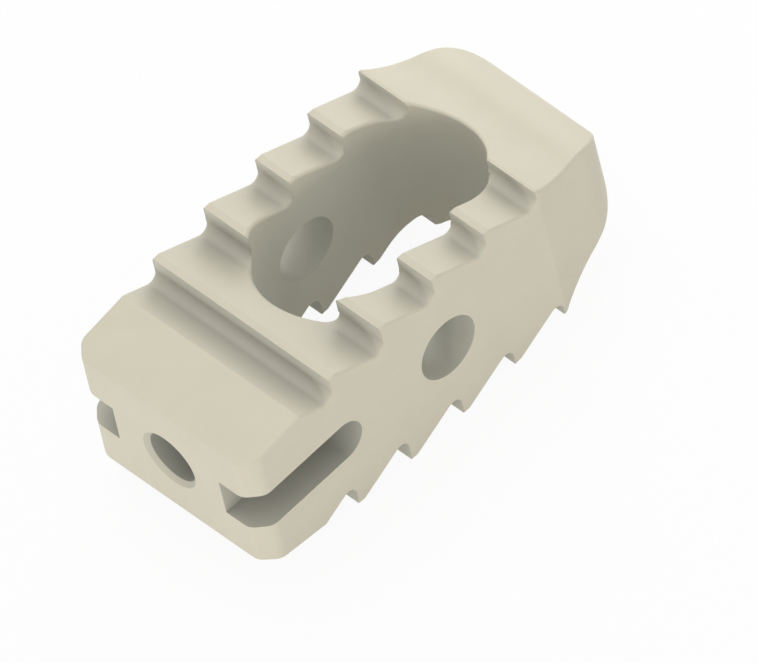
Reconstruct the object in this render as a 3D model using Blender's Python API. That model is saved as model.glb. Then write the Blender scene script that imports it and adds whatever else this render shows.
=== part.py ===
"""Spinal interbody cage: one solid body with toothed faces, a bullet nose and a graft window.

Metres, +Z up, +X towards the nose. The origin is under the middle of the body, level with
its lowest tooth. Top and bottom faces mirror each other, and so do the two side walls.
"""
import math

import bmesh
import bpy
from mathutils import Vector

MM = 0.001

# Overall size
LENGTH = 22.0 * MM
WIDTH = 10.0 * MM
HEIGHT = 8.8 * MM
TRAILING_HEIGHT = 6.4 * MM
CORNER_CHAMFER = 0.7 * MM
CORNER_EASE = 0.7 * MM
EDGE_ROUND = 0.12 * MM

# Lead-in ramp between the trailing face and the first valley
RAMP_LENGTH = 3.2 * MM
RAMP_RISE = 0.4 * MM

# Teeth, which follow a shallow dome along the body
DOME_RADIUS = 53.0 * MM
DOME_APEX = 10.8 * MM
TOOTH_PITCH = 3.0 * MM
FIRST_TOOTH = 5.0 * MM
FULL_PITCH_TEETH = 4
LAST_TOOTH_STEP = 2.9 * MM
TOOTH_LAND = 0.33 * MM
LAST_TOOTH_LAND = 0.13 * MM
TOOTH_BACK_ANGLE = math.radians(26.0)
VALLEY_RADIUS = 0.4 * MM

# Nose: a hollow arc into a full round in the side view, straight flanks and round corners in
# the plan view
NOSE_HOLLOW_RADIUS = 5.0 * MM
NOSE_ROUND_RADIUS = 3.0 * MM
NOSE_TIP_LAND = 0.2 * MM
NOSE_SHOULDER = 17.0 * MM
NOSE_TAPER = math.radians(14.3)
NOSE_CORNER_RADIUS = 2.5 * MM

# Graft window, through from top to bottom
WINDOW_START = 6.7 * MM
WINDOW_LENGTH = 11.2 * MM
WINDOW_WIDTH = 6.0 * MM

# Grip slots in both sides, open at the trailing face
SLOT_HEIGHT = 2.0 * MM
SLOT_DEPTH = 2.0 * MM
SLOT_LENGTH = 6.0 * MM

# Inserter hole on the long axis, from the trailing face into the window
INSERTER_BORE = 2.5 * MM
INSERTER_CHAMFER = 0.2 * MM

# Round side holes through both walls
SIDE_HOLE_BORE = 3.0 * MM
SIDE_HOLE_PLACE = 11.0 * MM

# Facets of the round stretches, and how far cutters run past the faces that they cut
ARC_STEP = math.radians(9.0)
EDGE_STEP = math.radians(45.0)
BORE_SIDES = 48
OVERCUT = 1.0 * MM
EMPTY_AREA = 1e-4 * MM ** 2
FLAT_ANGLE = math.radians(0.05)
SHARP_ANGLE = math.radians(35.0)

BEIGE = (0.686, 0.638, 0.508, 1.0)
BODY_ROUGHNESS = 0.55


def clear_scene():
    for item in list(bpy.data.objects):
        bpy.data.objects.remove(item, do_unlink=True)


def arc(centre, radius, start, end, step=ARC_STEP):
    """Points on an arc from one angle to another, ends included."""
    count = max(2, math.ceil(abs(end - start) / step))
    turns = (start + (end - start) * number / count for number in range(count + 1))
    return [(centre[0] + radius * math.cos(turn), centre[1] + radius * math.sin(turn)) for turn in turns]


def dome(x):
    """Height of the dome over the long axis, at a distance from the trailing face."""
    return HEIGHT / 2 - DOME_RADIUS + math.sqrt(DOME_RADIUS ** 2 - (x - DOME_APEX) ** 2)


def tooth_places():
    """Distance of each steep face from the trailing face."""
    places = [FIRST_TOOTH + TOOTH_PITCH * number for number in range(FULL_PITCH_TEETH)]
    places.append(places[-1] + LAST_TOOTH_STEP)
    return places


def valley(crest, place):
    """Fillet between the back slope that falls from a crest and the next steep face."""
    centre_x = place - VALLEY_RADIUS
    slope_z = crest[1] - (centre_x - crest[0]) * math.tan(TOOTH_BACK_ANGLE)
    centre = (centre_x, slope_z + VALLEY_RADIUS / math.cos(TOOTH_BACK_ANGLE))
    return arc(centre, VALLEY_RADIUS, -math.pi / 2 - TOOTH_BACK_ANGLE, 0.0)


def toothed_line():
    """Round trailing edge, ramp, valleys, steep faces and lands, up to the end of the last land."""
    edge_centre = (EDGE_ROUND, TRAILING_HEIGHT / 2 - EDGE_ROUND)
    line = arc(edge_centre, EDGE_ROUND, math.pi, math.pi / 2, EDGE_STEP)
    crest = (RAMP_LENGTH, TRAILING_HEIGHT / 2 + RAMP_RISE)
    line.append(crest)
    places = tooth_places()
    for place in places:
        land = LAST_TOOTH_LAND if place == places[-1] else TOOTH_LAND
        line.extend(valley(crest, place))
        crest = (place + land, dome(place + land))
        line.extend([(place, dome(place)), crest])
    return line


def nose_line(crest):
    """Hollow arc from the last land and the full round that it runs into."""
    round_centre = Vector((LENGTH - NOSE_ROUND_RADIUS, 0.0))
    to_crest = Vector(crest) - round_centre
    spread = to_crest.length
    reach = NOSE_ROUND_RADIUS + NOSE_HOLLOW_RADIUS
    cosine = (spread ** 2 + reach ** 2 - NOSE_HOLLOW_RADIUS ** 2) / (2 * spread * reach)
    joint = math.atan2(to_crest.y, to_crest.x) - math.acos(cosine)
    hollow_centre = round_centre + Vector((math.cos(joint), math.sin(joint))) * reach
    start = math.atan2(crest[1] - hollow_centre.y, crest[0] - hollow_centre.x)
    hollow = arc(hollow_centre, NOSE_HOLLOW_RADIUS, start, joint - math.pi)
    front = math.asin(NOSE_TIP_LAND / 2 / NOSE_ROUND_RADIUS)
    nose = arc(round_centre, NOSE_ROUND_RADIUS, joint, front)
    nose[-1] = (LENGTH, NOSE_TIP_LAND / 2)
    return hollow[1:] + nose[1:]


def nose_corner():
    """Centre of the nose corner's arc in the plan view, from the flank that it meets."""
    centre_x = LENGTH - NOSE_CORNER_RADIUS
    flank_y = WIDTH / 2 - (centre_x - NOSE_SHOULDER) * math.tan(NOSE_TAPER)
    return centre_x, flank_y - NOSE_CORNER_RADIUS / math.cos(NOSE_TAPER)


def trailing_corner():
    """Chamfer with eased edges in the plan view, from the trailing face to the side wall."""
    run = CORNER_CHAMFER + CORNER_EASE * math.tan(math.pi / 8)
    face_end = arc((CORNER_EASE, WIDTH / 2 - run), CORNER_EASE, math.pi, 3 * math.pi / 4)
    wall_end = arc((run, WIDTH / 2 - CORNER_EASE), CORNER_EASE, 3 * math.pi / 4, math.pi / 2)
    return face_end + wall_end


def between(before, after, x):
    """Second coordinate at a distance, on the straight line between two points."""
    share = (x - before[0]) / (after[0] - before[0])
    return before[1] + share * (after[1] - before[1])


def half_width(x):
    """Half of the plan width, at a distance from the trailing face."""
    corner = trailing_corner()
    if x < corner[-1][0]:
        place = max(number for number, point in enumerate(corner) if point[0] <= x)
        return between(corner[place], corner[place + 1], x)
    if x <= NOSE_SHOULDER:
        return WIDTH / 2
    centre_x, centre_y = nose_corner()
    if x < centre_x + NOSE_CORNER_RADIUS * math.sin(NOSE_TAPER):
        return WIDTH / 2 - (x - NOSE_SHOULDER) * math.tan(NOSE_TAPER)
    depth = min(x - centre_x, NOSE_CORNER_RADIUS)
    return centre_y + math.sqrt(NOSE_CORNER_RADIUS ** 2 - depth ** 2)


def plan_stations():
    """Distances at which the plan outline needs a section of its own."""
    nose = arc(nose_corner(), NOSE_CORNER_RADIUS, math.pi / 2 - NOSE_TAPER, 0.0)
    return [x for x, across in trailing_corner()[1:]] + [NOSE_SHOULDER] + [x for x, across in nose[:-1]]


def sections():
    """Pairs of distance and half height, in order, with every station of the plan outline."""
    line = toothed_line()
    line.extend(nose_line(line[-1]))
    for station in plan_stations():
        place = max(number for number, point in enumerate(line) if point[0] <= station)
        before = line[place]
        after = line[place + 1]
        if min(station - before[0], after[0] - station) < EDGE_ROUND / 10:
            continue
        line.insert(place + 1, (station, between(before, after, station)))
    return line


def section_ring(x, half_height):
    """Rectangle with round corners that one section of the body has across the long axis."""
    across = half_width(x)
    radius = min(EDGE_ROUND, half_height / 2)
    corners = []
    for number, (side, level) in enumerate(((1, 1), (-1, 1), (-1, -1), (1, -1))):
        centre = (side * (across - radius), level * (half_height - radius))
        start = number * math.pi / 2
        corners.extend(arc(centre, radius, start, start + math.pi / 2, EDGE_STEP))
    return [world(x, y, z) for y, z in corners]


def join_flat_faces(shape):
    """Joins faces in one plane, first those that two sections at one distance leave with no area."""
    empty = [face for face in shape.faces if face.calc_area() < EMPTY_AREA]
    long_edges = [max(face.edges, key=lambda edge: edge.calc_length()) for face in empty]
    bmesh.ops.dissolve_edges(shape, edges=long_edges, use_verts=False)
    bmesh.ops.dissolve_limit(shape, angle_limit=FLAT_ANGLE, verts=shape.verts, edges=shape.edges)


def solid(name, rings):
    """Closed solid through rings of equally many points, with a flat cap at each end."""
    mesh = bpy.data.meshes.new(name)
    shape = bmesh.new()
    loops = [[shape.verts.new(point) for point in ring] for ring in rings]
    for loop, following in zip(loops, loops[1:]):
        count = len(loop)
        for number in range(count):
            after = (number + 1) % count
            shape.faces.new((loop[number], loop[after], following[after], following[number]))
    shape.faces.new(loops[0])
    shape.faces.new(loops[-1])
    join_flat_faces(shape)
    bmesh.ops.recalc_face_normals(shape, faces=shape.faces)
    shape.to_mesh(mesh)
    shape.free()
    mesh.shade_smooth()
    mesh.set_sharp_from_angle(angle=SHARP_ANGLE)
    item = bpy.data.objects.new(name, mesh)
    bpy.context.scene.collection.objects.link(item)
    return item


def world(x, y, z):
    """Point from its distance to the trailing face and its offsets from the long axis."""
    return (x - LENGTH / 2, y, z + HEIGHT / 2)


def racetrack(start, end, radius):
    """Closed outline with two round ends, between two distances along the long axis."""
    near_end = arc((start + radius, 0.0), radius, math.pi / 2, 3 * math.pi / 2)
    far_end = arc((end - radius, 0.0), radius, -math.pi / 2, math.pi / 2)
    return near_end + far_end


def circle(place, radius):
    turns = [2 * math.pi * (number + 0.5) / BORE_SIDES for number in range(BORE_SIDES)]
    return [(place + radius * math.cos(turn), radius * math.sin(turn)) for turn in turns]


def cut(body, cutter):
    cutter.hide_render = True
    cutter.display_type = "WIRE"
    modifier = body.modifiers.new(cutter.name, "BOOLEAN")
    modifier.operation = "DIFFERENCE"
    modifier.solver = "EXACT"
    modifier.object = cutter


def window_cutter():
    reach = HEIGHT / 2 + OVERCUT
    outline = racetrack(WINDOW_START, WINDOW_START + WINDOW_LENGTH, WINDOW_WIDTH / 2)
    return solid("window_cutter", [[world(x, y, z) for x, y in outline] for z in (-reach, reach)])


def slot_cutter(name, side):
    """Round-ended slot that starts outside the trailing face."""
    outline = racetrack(-SLOT_HEIGHT - OVERCUT, SLOT_LENGTH, SLOT_HEIGHT / 2)
    depths = (WIDTH / 2 - SLOT_DEPTH, WIDTH / 2 + OVERCUT)
    return solid(name, [[world(x, side * depth, z) for x, z in outline] for depth in depths])


def inserter_cutter():
    radius = INSERTER_BORE / 2
    flare = INSERTER_CHAMFER + OVERCUT
    stops = ((-OVERCUT, radius + flare), (INSERTER_CHAMFER, radius), (WINDOW_START + WINDOW_WIDTH / 2, radius))
    rings = [[world(x, y, z) for y, z in circle(0.0, ring_radius)] for x, ring_radius in stops]
    return solid("inserter_cutter", rings)


def side_hole_cutter():
    reach = WIDTH / 2 + OVERCUT
    outline = circle(SIDE_HOLE_PLACE, SIDE_HOLE_BORE / 2)
    return solid("side_hole_cutter", [[world(x, y, z) for x, z in outline] for y in (-reach, reach)])


def beige_plastic():
    material = bpy.data.materials.new("beige_plastic")
    material.use_nodes = True
    shader = material.node_tree.nodes["Principled BSDF"]
    shader.inputs["Base Color"].default_value = BEIGE
    shader.inputs["Roughness"].default_value = BODY_ROUGHNESS
    shader.inputs["Metallic"].default_value = 0.0
    return material


def cage_body():
    body = solid("cage_body", [section_ring(x, half_height) for x, half_height in sections()])
    cut(body, window_cutter())
    cut(body, slot_cutter("left_slot_cutter", 1))
    cut(body, slot_cutter("right_slot_cutter", -1))
    cut(body, inserter_cutter())
    cut(body, side_hole_cutter())
    body.data.materials.append(beige_plastic())
    return body


clear_scene()
cage_body()
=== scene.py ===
"""Looks of the spinal interbody cage: a finely faceted body in matte beige plastic.

Metres, +Z up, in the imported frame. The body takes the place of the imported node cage_body and
repeats its dimensions. Outlines are given by x, the distance from the flat trailing face, and by
y and z, the offsets from the long axis.
"""
import math

import bmesh
import bpy
from mathutils import Matrix, Vector

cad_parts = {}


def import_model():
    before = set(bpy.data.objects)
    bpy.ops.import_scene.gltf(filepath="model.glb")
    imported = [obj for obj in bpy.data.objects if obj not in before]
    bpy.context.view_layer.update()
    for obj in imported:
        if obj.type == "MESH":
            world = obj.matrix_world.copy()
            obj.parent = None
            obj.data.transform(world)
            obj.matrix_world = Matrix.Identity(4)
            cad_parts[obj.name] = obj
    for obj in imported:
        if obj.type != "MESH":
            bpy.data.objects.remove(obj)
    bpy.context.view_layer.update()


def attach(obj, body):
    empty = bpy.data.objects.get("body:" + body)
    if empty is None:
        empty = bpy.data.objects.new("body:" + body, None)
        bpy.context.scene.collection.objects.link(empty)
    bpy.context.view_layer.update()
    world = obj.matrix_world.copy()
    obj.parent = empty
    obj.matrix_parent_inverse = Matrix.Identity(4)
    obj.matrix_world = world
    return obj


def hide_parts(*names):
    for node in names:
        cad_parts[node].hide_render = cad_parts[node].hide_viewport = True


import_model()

MM = 0.001

# Overall size
LENGTH = 22.0 * MM
WIDTH = 10.0 * MM
HEIGHT = 8.8 * MM
TRAILING_HEIGHT = 6.4 * MM
CORNER_CHAMFER = 0.7 * MM
CORNER_EASE = 0.7 * MM
EDGE_ROUND = 0.12 * MM

# Ramp and teeth, which follow a shallow dome along the body
RAMP_LENGTH = 3.2 * MM
RAMP_RISE = 0.4 * MM
DOME_RADIUS = 53.0 * MM
DOME_APEX = 10.8 * MM
TOOTH_PITCH = 3.0 * MM
FIRST_TOOTH = 5.0 * MM
FULL_PITCH_TEETH = 4
LAST_TOOTH_STEP = 2.9 * MM
TOOTH_LAND = 0.33 * MM
LAST_TOOTH_LAND = 0.13 * MM
TOOTH_BACK_ANGLE = math.radians(26.0)
VALLEY_RADIUS = 0.4 * MM

# Nose: a hollow arc into a full round in the side view, straight flanks and round corners in
# the plan view
NOSE_HOLLOW_RADIUS = 5.0 * MM
NOSE_ROUND_RADIUS = 3.0 * MM
NOSE_TIP_LAND = 0.2 * MM
NOSE_SHOULDER = 17.0 * MM
NOSE_TAPER = math.radians(14.3)
NOSE_CORNER_RADIUS = 2.5 * MM

# Graft window, grip slots, inserter hole and side holes
WINDOW_START = 6.7 * MM
WINDOW_LENGTH = 11.2 * MM
WINDOW_WIDTH = 6.0 * MM
SLOT_HEIGHT = 2.0 * MM
SLOT_DEPTH = 2.0 * MM
SLOT_LENGTH = 6.0 * MM
INSERTER_BORE = 2.5 * MM
INSERTER_CHAMFER = 0.2 * MM
SIDE_HOLE_BORE = 3.0 * MM
SIDE_HOLE_PLACE = 11.0 * MM

# Round edge of the graft window, cut by strips that follow each tooth and stop at steep faces.
# The round starts and ends at a small angle to the wall and the tooth, because the Boolean solver
# leaves gaps where a cutter only touches. STRIP_STEP was found by trial: 0.07 mm left gaps.
# STRIP_RISE is a strip's height over the tooth and its width inside the window. It starts
# STRIP_LEAD before its own steep face and stops STRIP_GAP short of the next, and STRIP_LIP is the
# width of its sharp foot inside the window's wall.
WINDOW_ROUND = 0.16 * MM
ROUND_START = math.radians(8.0)
ROUND_END = math.radians(80.0)
ROUND_STEP = math.radians(12.0)
STRIP_STEP = 0.0743 * MM
STRIP_RISE = 0.2 * MM
STRIP_LEAD = 0.1 * MM
STRIP_GAP = 0.02 * MM
STRIP_LIP = 0.01 * MM

# Facets of the round stretches, the least distance between two sections, how far cutters run past
# the faces that they cut, and the angles that count as flat and as sharp. EMPTY_AREA is in square
# millimetres.
ARC_STEP = math.radians(3.0)
EDGE_STEP = math.radians(9.0)
BORE_SIDES = 120
SECTION_GAP = EDGE_ROUND / 20
OVERCUT = 1.0 * MM
EMPTY_AREA = 1e-5
FLAT_ANGLE = math.radians(0.05)
SHARP_ANGLE = math.radians(12.0)
NORMAL_WEIGHT = 100

# Plastic: mottling between two colours, soft rims of the teeth, painted shade (a cooler colour deep
# inside and a darker colour in narrow hollows, mixed in by how closely the body closes in around a
# point), and a fine grain that varies the gloss. Texture scales are in cycles a metre. The soft rims
# lie within RIM_REACH of the outer and window walls, and more than RIM_LEVEL above or below
# mid-height. MIX_A, MIX_B and MIX_RESULT are the Mix node's colour sockets.
WHITE = (1.0, 1.0, 1.0, 1.0)
PLASTIC_IOR = 1.5
MOTTLE_SCALE = 600.0
MOTTLE_DETAIL = 3.0
MOTTLE_STOPS = ((0.3, (0.655, 0.612, 0.478, 1.0)), (0.7, (0.675, 0.632, 0.494, 1.0)))
RIM_ROUND = 0.09 * MM
RIM_REACH = 0.15 * MM
RIM_LEVEL = 2.3 * MM
# Painted shade: the colour turns cooler deep inside and darker in narrow hollows, within these
# reaches.
INSIDE_SHADE_REACH = 8.0 * MM
PAINTED_INSIDE_SHADE = (0.573, 0.602, 0.56, 1.0)
HOLLOW_SHADE_REACH = 3.0 * MM
PAINTED_HOLLOW_SHADE = (0.325, 0.312, 0.272, 1.0)
SHAPE_SAMPLES = 8
GRAIN_SCALE = 9000.0
GRAIN_DETAIL = 2.0
GRAIN_DEPTH = 0.01 * MM
GRAIN_STRENGTH = 0.05
ROUGHNESS = (0.48, 0.58)
MIX_A, MIX_B, MIX_RESULT = 6, 7, 2

# Studio: the floor, the share of plain white in it for the camera, and the light of the sky.
# Each lamp has a direction from the body, a distance, a size, a power and whether it is mirrored;
# the low lamp isn't, because its glare would hide the ramp from the nose's side.
FLOOR_HALF = 1.5
FLOOR_COLOUR = (0.9, 0.9, 0.9, 1.0)
FLOOR_WHITE_SHARE = 0.93
SKY_STRENGTH = 0.7
LAMPS = {
    "key_lamp": ((0.12, 0.35, 1.0), 0.5, 0.3, 0.485, True),
    "low_lamp": ((-1.0, -0.54, 0.04), 0.5, 0.12, 0.86, False),
    "nose_lamp": ((0.8, 0.5, 0.35), 0.06, 0.03, 0.0066, True),
}

# Camera: parallel projection along the photograph's direction. The shifts are the picture's middle
# from the middle of the trailing face, along the picture's axes.
VIEW_RIGHT = Vector((0.69091, -0.70702, -0.15088))
VIEW_UP = Vector((0.63269, 0.49036, 0.59938))
VIEW_ORIGIN = Vector((-LENGTH / 2, 0.0, HEIGHT / 2))
VIEW_SHIFT_RIGHT = 8.351 * MM
VIEW_SHIFT_UP = 5.147 * MM
VIEW_WIDTH = 30.232 * MM
CAMERA_DISTANCE = 0.2
CAMERA_CLIP = 0.001


def arc(centre, radius, start, end, step=ARC_STEP):
    """Points on an arc from one angle to another, ends included."""
    count = max(2, math.ceil(abs(end - start) / step))
    turns = (start + (end - start) * number / count for number in range(count + 1))
    across, up = centre
    return [(across + radius * math.cos(turn), up + radius * math.sin(turn)) for turn in turns]


def dome(x):
    """Height of the dome over the long axis, at a distance from the trailing face."""
    return HEIGHT / 2 - DOME_RADIUS + math.sqrt(DOME_RADIUS ** 2 - (x - DOME_APEX) ** 2)


def tooth_places():
    """Distance of each steep face from the trailing face."""
    places = [FIRST_TOOTH + TOOTH_PITCH * number for number in range(FULL_PITCH_TEETH)]
    places.append(places[-1] + LAST_TOOTH_STEP)
    return places


def valley(crest, place):
    """Fillet between the back slope that falls from a crest and the next steep face."""
    centre_x = place - VALLEY_RADIUS
    slope_z = crest[1] - (centre_x - crest[0]) * math.tan(TOOTH_BACK_ANGLE)
    centre = (centre_x, slope_z + VALLEY_RADIUS / math.cos(TOOTH_BACK_ANGLE))
    return arc(centre, VALLEY_RADIUS, -math.pi / 2 - TOOTH_BACK_ANGLE, 0.0)


def toothed_line():
    """Round trailing edge, ramp, valleys, steep faces and lands, up to the end of the last land."""
    edge_centre = (EDGE_ROUND, TRAILING_HEIGHT / 2 - EDGE_ROUND)
    line = arc(edge_centre, EDGE_ROUND, math.pi, math.pi / 2, EDGE_STEP)
    crest = (RAMP_LENGTH, TRAILING_HEIGHT / 2 + RAMP_RISE)
    line.append(crest)
    places = tooth_places()
    for place in places:
        land = LAST_TOOTH_LAND if place == places[-1] else TOOTH_LAND
        line.extend(valley(crest, place))
        crest = (place + land, dome(place + land))
        line.extend([(place, dome(place)), crest])
    return line


def nose_line(crest):
    """Hollow arc from the last land and the full round that it runs into."""
    round_centre = Vector((LENGTH - NOSE_ROUND_RADIUS, 0.0))
    to_crest = Vector(crest) - round_centre
    spread = to_crest.length
    reach = NOSE_ROUND_RADIUS + NOSE_HOLLOW_RADIUS
    cosine = (spread ** 2 + reach ** 2 - NOSE_HOLLOW_RADIUS ** 2) / (2 * spread * reach)
    joint = math.atan2(to_crest.y, to_crest.x) - math.acos(cosine)
    hollow_centre = round_centre + Vector((math.cos(joint), math.sin(joint))) * reach
    start = math.atan2(crest[1] - hollow_centre.y, crest[0] - hollow_centre.x)
    hollow = arc(hollow_centre, NOSE_HOLLOW_RADIUS, start, joint - math.pi)
    front = math.asin(NOSE_TIP_LAND / 2 / NOSE_ROUND_RADIUS)
    nose = arc(round_centre, NOSE_ROUND_RADIUS, joint, front)
    nose[-1] = (LENGTH, NOSE_TIP_LAND / 2)
    return hollow[1:] + nose[1:]


def nose_corner():
    """Centre of the nose corner's arc in the plan view, from the flank that it meets."""
    centre_x = LENGTH - NOSE_CORNER_RADIUS
    flank_y = WIDTH / 2 - (centre_x - NOSE_SHOULDER) * math.tan(NOSE_TAPER)
    return centre_x, flank_y - NOSE_CORNER_RADIUS / math.cos(NOSE_TAPER)


def trailing_corner():
    """Chamfer with eased edges in the plan view, from the trailing face to the side wall."""
    run = CORNER_CHAMFER + CORNER_EASE * math.tan(math.pi / 8)
    face_end = arc((CORNER_EASE, WIDTH / 2 - run), CORNER_EASE, math.pi, 3 * math.pi / 4)
    wall_end = arc((run, WIDTH / 2 - CORNER_EASE), CORNER_EASE, 3 * math.pi / 4, math.pi / 2)
    return face_end + wall_end


def between(before, after, x):
    """Second coordinate at a distance, on the straight line between two points."""
    share = (x - before[0]) / (after[0] - before[0])
    return before[1] + share * (after[1] - before[1])


def half_width(x):
    """Half of the plan width, at a distance from the trailing face."""
    corner = trailing_corner()
    if x < corner[-1][0]:
        place = max(number for number, point in enumerate(corner) if point[0] <= x)
        return between(corner[place], corner[place + 1], x)
    if x <= NOSE_SHOULDER:
        return WIDTH / 2
    centre_x, centre_y = nose_corner()
    if x < centre_x + NOSE_CORNER_RADIUS * math.sin(NOSE_TAPER):
        return WIDTH / 2 - (x - NOSE_SHOULDER) * math.tan(NOSE_TAPER)
    depth = min(x - centre_x, NOSE_CORNER_RADIUS)
    return centre_y + math.sqrt(NOSE_CORNER_RADIUS ** 2 - depth ** 2)


def plan_stations():
    """Distances at which the plan outline needs a section of its own."""
    nose = arc(nose_corner(), NOSE_CORNER_RADIUS, math.pi / 2 - NOSE_TAPER, 0.0)
    trailing = [x for x, across in trailing_corner()[1:]]
    return trailing + [NOSE_SHOULDER] + [x for x, across in nose[:-1]]


def sections():
    """Pairs of distance and half height, in order, with every station of the plan outline."""
    line = toothed_line()
    line.extend(nose_line(line[-1]))
    for station in plan_stations():
        place = max(number for number, point in enumerate(line) if point[0] <= station)
        before = line[place]
        after = line[place + 1]
        if min(station - before[0], after[0] - station) < SECTION_GAP:
            continue
        line.insert(place + 1, (station, between(before, after, station)))
    return line


def section_ring(x, half_height):
    """Rectangle with round corners that one section of the body has across the long axis."""
    across = half_width(x)
    radius = min(EDGE_ROUND, half_height / 2)
    corners = []
    for number, (side, level) in enumerate(((1, 1), (-1, 1), (-1, -1), (1, -1))):
        centre = (side * (across - radius), level * (half_height - radius))
        start = number * math.pi / 2
        corners.extend(arc(centre, radius, start, start + math.pi / 2, EDGE_STEP))
    return [world(x, y, z) for y, z in corners]


def join_flat_faces(shape):
    """Joins faces in one plane, first those that two sections at one distance leave with no area."""
    empty = [face for face in shape.faces if face.calc_area() < EMPTY_AREA]
    long_edges = [max(face.edges, key=lambda edge: edge.calc_length()) for face in empty]
    bmesh.ops.dissolve_edges(shape, edges=long_edges, use_verts=False)
    bmesh.ops.dissolve_limit(shape, angle_limit=FLAT_ANGLE, verts=shape.verts, edges=shape.edges)


def solid(name, rings):
    """Closed solid through rings of equally many points, with a flat cap at each end.

    Its mesh is in millimetres until cut() scales it, because the Boolean solver leaves gaps in a
    body of this size in metres.
    """
    mesh = bpy.data.meshes.new(name)
    shape = bmesh.new()
    loops = [[shape.verts.new(Vector(point) / MM) for point in ring] for ring in rings]
    for loop, following in zip(loops, loops[1:]):
        count = len(loop)
        for number in range(count):
            after = (number + 1) % count
            shape.faces.new((loop[number], loop[after], following[after], following[number]))
    shape.faces.new(loops[0])
    shape.faces.new(loops[-1])
    join_flat_faces(shape)
    bmesh.ops.recalc_face_normals(shape, faces=shape.faces)
    shape.to_mesh(mesh)
    shape.free()
    item = bpy.data.objects.new(name, mesh)
    bpy.context.scene.collection.objects.link(item)
    return item


def world(x, y, z):
    """Point from its distance to the trailing face and its offsets from the long axis."""
    return (x - LENGTH / 2, y, z + HEIGHT / 2)


def racetrack(start, end, radius):
    """Closed outline with two round ends, between two distances along the long axis."""
    near_end = arc((start + radius, 0.0), radius, math.pi / 2, 3 * math.pi / 2)
    far_end = arc((end - radius, 0.0), radius, -math.pi / 2, math.pi / 2)
    return near_end + far_end


def circle(place, radius):
    """Closed round outline with its centre on the axis, at a distance."""
    turns = [2 * math.pi * (number + 0.5) / BORE_SIDES for number in range(BORE_SIDES)]
    return [(place + radius * math.cos(turn), radius * math.sin(turn)) for turn in turns]


def window_cutter():
    """Graft window, from below the body to above it."""
    reach = HEIGHT / 2 + OVERCUT
    outline = racetrack(WINDOW_START, WINDOW_START + WINDOW_LENGTH, WINDOW_WIDTH / 2)
    return solid("window_cutter", [[world(x, y, z) for x, y in outline] for z in (-reach, reach)])


def slot_cutter(name, side):
    """Round-ended slot that starts outside the trailing face."""
    outline = racetrack(-SLOT_HEIGHT - OVERCUT, SLOT_LENGTH, SLOT_HEIGHT / 2)
    depths = (WIDTH / 2 - SLOT_DEPTH, WIDTH / 2 + OVERCUT)
    return solid(name, [[world(x, side * depth, z) for x, z in outline] for depth in depths])


def inserter_cutter():
    """Chamfered hole from the trailing face into the graft window."""
    radius = INSERTER_BORE / 2
    flare = INSERTER_CHAMFER + OVERCUT
    end = WINDOW_START + WINDOW_WIDTH / 2
    stops = ((-OVERCUT, radius + flare), (INSERTER_CHAMFER, radius), (end, radius))
    rings = [[world(x, y, z) for y, z in circle(0.0, ring_radius)] for x, ring_radius in stops]
    return solid("inserter_cutter", rings)


def side_hole_cutter():
    """Round hole through both side walls."""
    reach = WIDTH / 2 + OVERCUT
    outline = circle(SIDE_HOLE_PLACE, SIDE_HOLE_BORE / 2)
    return solid("side_hole_cutter", [[world(x, y, z) for x, z in outline] for y in (-reach, reach)])


def window_edge():
    """Points around the window's outline and their outward directions, closely spaced."""
    radius = WINDOW_WIDTH / 2
    near_x = WINDOW_START + radius
    far_x = WINDOW_START + WINDOW_LENGTH - radius
    count = math.ceil((far_x - near_x) / STRIP_STEP)
    middle = [near_x + (far_x - near_x) * number / count for number in range(1, count)]
    edge = []
    halves = ((near_x, math.pi / 2, middle, -1), (far_x, -math.pi / 2, middle[::-1], 1))
    for centre_x, start, straight, side in halves:
        for out_x, out_y in arc((0.0, 0.0), 1.0, start, start + math.pi, STRIP_STEP / radius):
            edge.append((centre_x + radius * out_x, radius * out_y, out_x, out_y))
        edge.extend((x, side * radius, 0.0, side) for x in straight)
    return edge


def stretches(loop, keep):
    """Unbroken stretches of a closed loop's points that pass a test."""
    start = [keep(point) for point in loop].index(False)
    parts = [[]]
    for point in loop[start:] + loop[:start]:
        if keep(point):
            parts[-1].append(point)
        elif parts[-1]:
            parts.append([])
    return [part for part in parts if part]


def tooth_height(tooth, x):
    """Half height of one tooth at a distance, level before its first and past its last point."""
    x = min(max(x, tooth[0][0]), tooth[-1][0])
    place = max(number for number, point in enumerate(tooth[:-1]) if point[0] <= x)
    return between(tooth[place], tooth[place + 1], x)


def round_profile():
    """Outline of a rim strip, outwards from the window's wall and upwards from the tooth."""
    centre = (WINDOW_ROUND, -WINDOW_ROUND)
    turns = arc(centre, WINDOW_ROUND, math.pi - ROUND_START, math.pi - ROUND_END, ROUND_STEP)
    inner = turns[0][0] + STRIP_LIP
    foot = turns[0][1] - inner / math.tan(ROUND_START)
    top = [(turns[-1][0], STRIP_RISE), (-STRIP_RISE, STRIP_RISE)]
    return [(-STRIP_RISE, foot), (-STRIP_LIP, foot)] + turns + top


def rim_strip(tooth, edge, level):
    """Cutter that rounds a stretch of the window's edge over one tooth."""
    rings = []
    for x, y, out_x, out_y in edge:
        ring = []
        for out, rise in round_profile():
            height = tooth_height(tooth, x + out * out_x) + rise
            ring.append(world(x + out * out_x, y + out * out_y, level * height))
        rings.append(ring)
    return solid("rim_strip", rings)


def rim_cutters():
    """Strips at the top and the bottom, for each tooth that the window runs through."""
    line = toothed_line()
    crests = [line.index((place, dome(place))) for place in tooth_places()]
    line.extend(nose_line(line[-1]))
    cutters = []
    for first, last in zip(crests, crests[1:] + [len(line)]):
        tooth = line[first:last]
        start = tooth[0][0] - STRIP_LEAD
        end = tooth[-1][0] - STRIP_GAP

        def on_tooth(point):
            return start < point[0] and point[0] + WINDOW_ROUND * point[2] < end

        for edge in stretches(window_edge(), on_tooth):
            cutters.extend(rim_strip(tooth, edge, level) for level in (1, -1))
    return cutters


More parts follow.
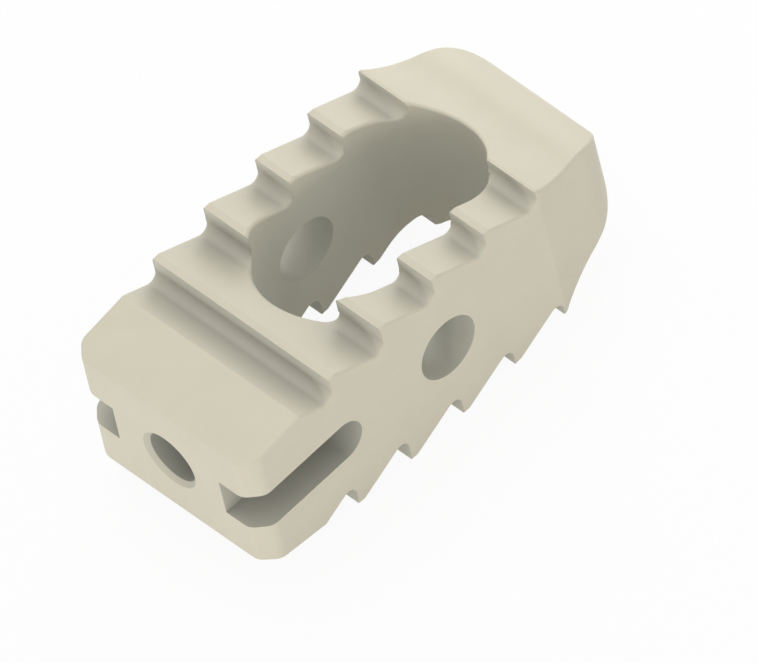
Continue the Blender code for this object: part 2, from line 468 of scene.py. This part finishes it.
def cut(body, cutters):
    """Subtracts the cutters and leaves a plain mesh in metres, with smooth rounds and sharp edges."""
    for cutter in cutters:
        modifier = body.modifiers.new(cutter.name, "BOOLEAN")
        modifier.operation = "DIFFERENCE"
        modifier.solver = "EXACT"
        modifier.object = cutter
    evaluated = body.evaluated_get(bpy.context.evaluated_depsgraph_get())
    mesh = bpy.data.meshes.new_from_object(evaluated)
    body.modifiers.clear()
    body.data = mesh
    mesh.transform(Matrix.Scale(MM, 4))
    for cutter in cutters:
        bpy.data.objects.remove(cutter, do_unlink=True)
    mesh.shade_smooth()
    mesh.set_sharp_from_angle(angle=SHARP_ANGLE)
    weighting = body.modifiers.new("even_normals", "WEIGHTED_NORMAL")
    weighting.keep_sharp = True
    weighting.weight = NORMAL_WEIGHT


def math_node(tree, operation, first, second=0.0):
    """Math node whose two inputs are sockets or numbers; gives its output socket."""
    node = tree.nodes.new("ShaderNodeMath")
    node.operation = operation
    for socket, value in zip(node.inputs, (first, second)):
        if isinstance(value, bpy.types.NodeSocket):
            tree.links.new(value, socket)
        else:
            socket.default_value = value
    return node.outputs["Value"]


def rim_mask(tree, place):
    """1 close to the outer and the window edges of the teeth, 0 elsewhere."""
    parts = tree.nodes.new("ShaderNodeSeparateXYZ")
    tree.links.new(place, parts.inputs["Vector"])
    across = math_node(tree, "ABSOLUTE", parts.outputs["Y"])
    outer = math_node(tree, "GREATER_THAN", across, WIDTH / 2 - RIM_REACH)
    window_middle = WINDOW_START + WINDOW_LENGTH / 2 - LENGTH / 2
    along = math_node(tree, "ABSOLUTE", math_node(tree, "SUBTRACT", parts.outputs["X"], window_middle))
    past = math_node(tree, "SUBTRACT", along, (WINDOW_LENGTH - WINDOW_WIDTH) / 2)
    past = math_node(tree, "MAXIMUM", past, 0.0)
    past_square = math_node(tree, "POWER", past, 2.0)
    across_square = math_node(tree, "POWER", across, 2.0)
    spread = math_node(tree, "SQRT", math_node(tree, "ADD", past_square, across_square))
    inner = math_node(tree, "LESS_THAN", spread, WINDOW_WIDTH / 2 + RIM_REACH)
    level = math_node(tree, "ABSOLUTE", math_node(tree, "SUBTRACT", parts.outputs["Z"], HEIGHT / 2))
    toothed = math_node(tree, "GREATER_THAN", level, RIM_LEVEL)
    return math_node(tree, "MULTIPLY", toothed, math_node(tree, "MAXIMUM", outer, inner))


def noise(tree, place, scale, detail):
    """Noise over the body's own coordinates; gives its value."""
    texture = tree.nodes.new("ShaderNodeTexNoise")
    texture.inputs["Scale"].default_value = scale
    texture.inputs["Detail"].default_value = detail
    tree.links.new(place, texture.inputs["Vector"])
    return texture.outputs["Fac"]


def painted_shade_tone(tree, reach, colour, open_colour):
    """Painted shade: colour that turns from the open surface's to a shade colour where the body closes
    in around it.
    """
    openness = tree.nodes.new("ShaderNodeAmbientOcclusion")
    openness.only_local = True
    openness.samples = SHAPE_SAMPLES
    openness.inputs["Distance"].default_value = reach
    tone = tree.nodes.new("ShaderNodeMix")
    tone.data_type = "RGBA"
    tree.links.new(openness.outputs["AO"], tone.inputs["Factor"])
    tone.inputs[MIX_A].default_value = colour
    tree.links.new(open_colour, tone.inputs[MIX_B])
    return tone.outputs[MIX_RESULT]


def beige_plastic():
    """Fine matte machined polymer: faint mottling, painted shade deep inside and in hollows, grain and
    soft rims.
    """
    material = bpy.data.materials.new("beige_plastic")
    material.use_nodes = True
    tree = material.node_tree
    nodes = tree.nodes
    links = tree.links
    shader = nodes["Principled BSDF"]
    shader.inputs["Metallic"].default_value = 0.0
    shader.inputs["IOR"].default_value = PLASTIC_IOR
    place = nodes.new("ShaderNodeTexCoord").outputs["Object"]

    tint = nodes.new("ShaderNodeValToRGB")
    for element, (position, colour) in zip(tint.color_ramp.elements, MOTTLE_STOPS):
        element.position = position
        element.color = colour
    links.new(noise(tree, place, MOTTLE_SCALE, MOTTLE_DETAIL), tint.inputs["Fac"])
    # Painted shade: the base colour turns cooler deep inside and darker in narrow hollows.
    inside = painted_shade_tone(tree, INSIDE_SHADE_REACH, PAINTED_INSIDE_SHADE, tint.outputs["Color"])
    tone = painted_shade_tone(tree, HOLLOW_SHADE_REACH, PAINTED_HOLLOW_SHADE, inside)
    links.new(tone, shader.inputs["Base Color"])

    grain = noise(tree, place, GRAIN_SCALE, GRAIN_DETAIL)
    gloss = nodes.new("ShaderNodeMapRange")
    gloss.inputs["To Min"].default_value = ROUGHNESS[0]
    gloss.inputs["To Max"].default_value = ROUGHNESS[1]
    links.new(grain, gloss.inputs["Value"])
    links.new(gloss.outputs["Result"], shader.inputs["Roughness"])

    rounding = nodes.new("ShaderNodeBevel")
    rounding.samples = SHAPE_SAMPLES
    links.new(math_node(tree, "MULTIPLY", rim_mask(tree, place), RIM_ROUND), rounding.inputs["Radius"])
    relief = nodes.new("ShaderNodeBump")
    relief.inputs["Strength"].default_value = GRAIN_STRENGTH
    relief.inputs["Distance"].default_value = GRAIN_DEPTH
    links.new(grain, relief.inputs["Height"])
    links.new(rounding.outputs["Normal"], relief.inputs["Normal"])
    links.new(relief.outputs["Normal"], shader.inputs["Normal"])
    return material


def cage_body():
    """The whole body: a shell through its sections, less everything that is cut into it."""
    body = solid("cage_shell", [section_ring(x, half_height) for x, half_height in sections()])
    cutters = [window_cutter()]
    cutters.extend([slot_cutter("left_slot_cutter", 1), slot_cutter("right_slot_cutter", -1)])
    cutters.extend([inserter_cutter(), side_hole_cutter()])
    cutters.extend(rim_cutters())
    cut(body, cutters)
    body.data.materials.clear()
    body.data.materials.append(beige_plastic())
    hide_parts("cage_body")
    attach(body, "root")


def seen_directly(tree):
    """1 for what the camera sees, also in a mirror or through glass, 0 for the light it gives."""
    ray = tree.nodes.new("ShaderNodeLightPath").outputs
    mirrored = math_node(tree, "MAXIMUM", ray["Is Glossy Ray"], ray["Is Transmission Ray"])
    return math_node(tree, "MAXIMUM", ray["Is Camera Ray"], mirrored)


def studio_floor():
    """Pale floor that the camera sees as near white, with a faint shadow of the object."""
    mesh = bpy.data.meshes.new("studio_floor")
    corners = [(x * FLOOR_HALF, y * FLOOR_HALF, 0) for x, y in ((-1, -1), (1, -1), (1, 1), (-1, 1))]
    mesh.from_pydata(corners, [], [(0, 1, 2, 3)])
    floor = bpy.data.objects.new("studio_floor", mesh)
    bpy.context.scene.collection.objects.link(floor)
    material = bpy.data.materials.new("pale_floor")
    material.use_nodes = True
    tree = material.node_tree
    nodes = tree.nodes
    links = tree.links
    shader = nodes["Principled BSDF"]
    shader.inputs["Base Color"].default_value = FLOOR_COLOUR
    shader.inputs["Roughness"].default_value = 1.0
    shader.inputs["Specular IOR Level"].default_value = 0.0
    white = nodes.new("ShaderNodeEmission")
    white.inputs["Color"].default_value = WHITE
    mix = nodes.new("ShaderNodeMixShader")
    links.new(math_node(tree, "MULTIPLY", seen_directly(tree), FLOOR_WHITE_SHARE), mix.inputs["Fac"])
    links.new(shader.outputs["BSDF"], mix.inputs[1])
    links.new(white.outputs["Emission"], mix.inputs[2])
    links.new(mix.outputs["Shader"], nodes["Material Output"].inputs["Surface"])
    mesh.materials.append(material)


def sky():
    """Even white light from all round, which looks white where it is seen."""
    backdrop = bpy.data.worlds.new("soft_white")
    bpy.context.scene.world = backdrop
    backdrop.use_nodes = True
    tree = backdrop.node_tree
    shade = tree.nodes["Background"]
    shade.inputs["Color"].default_value = WHITE
    brighter = math_node(tree, "MULTIPLY", seen_directly(tree), 1.0 - SKY_STRENGTH)
    tree.links.new(math_node(tree, "ADD", brighter, SKY_STRENGTH), shade.inputs["Strength"])


def soft_lamp(name, direction, distance, size, power, mirrored):
    """Square lamp that shines on the middle of the body from one direction."""
    data = bpy.data.lights.new(name, "AREA")
    data.shape = "SQUARE"
    data.size = size
    data.energy = power
    lamp = bpy.data.objects.new(name, data)
    bpy.context.scene.collection.objects.link(lamp)
    middle = Vector((0.0, 0.0, HEIGHT / 2))
    lamp.location = middle + Vector(direction).normalized() * distance
    lamp.rotation_euler = (lamp.location - middle).to_track_quat("Z", "Y").to_euler()
    lamp.visible_glossy = mirrored


def photo_camera():
    """Camera at the photograph's angle and framing."""
    data = bpy.data.cameras.new("photo_camera")
    data.type = "ORTHO"
    data.ortho_scale = VIEW_WIDTH
    data.clip_start = CAMERA_CLIP
    camera = bpy.data.objects.new("photo_camera", data)
    bpy.context.scene.collection.objects.link(camera)
    back = VIEW_RIGHT.cross(VIEW_UP).normalized()
    up = back.cross(VIEW_RIGHT).normalized()
    middle = VIEW_ORIGIN + VIEW_RIGHT * VIEW_SHIFT_RIGHT + VIEW_UP * VIEW_SHIFT_UP
    axes = Matrix((VIEW_RIGHT.normalized(), up, back)).transposed()
    camera.matrix_world = Matrix.Translation(middle + back * CAMERA_DISTANCE) @ axes.to_4x4()
    bpy.context.scene.camera = camera


cage_body()
studio_floor()
sky()
for lamp_name, settings in LAMPS.items():
    soft_lamp(lamp_name, *settings)
photo_camera()
bpy.context.scene.view_settings.view_transform = "Standard"
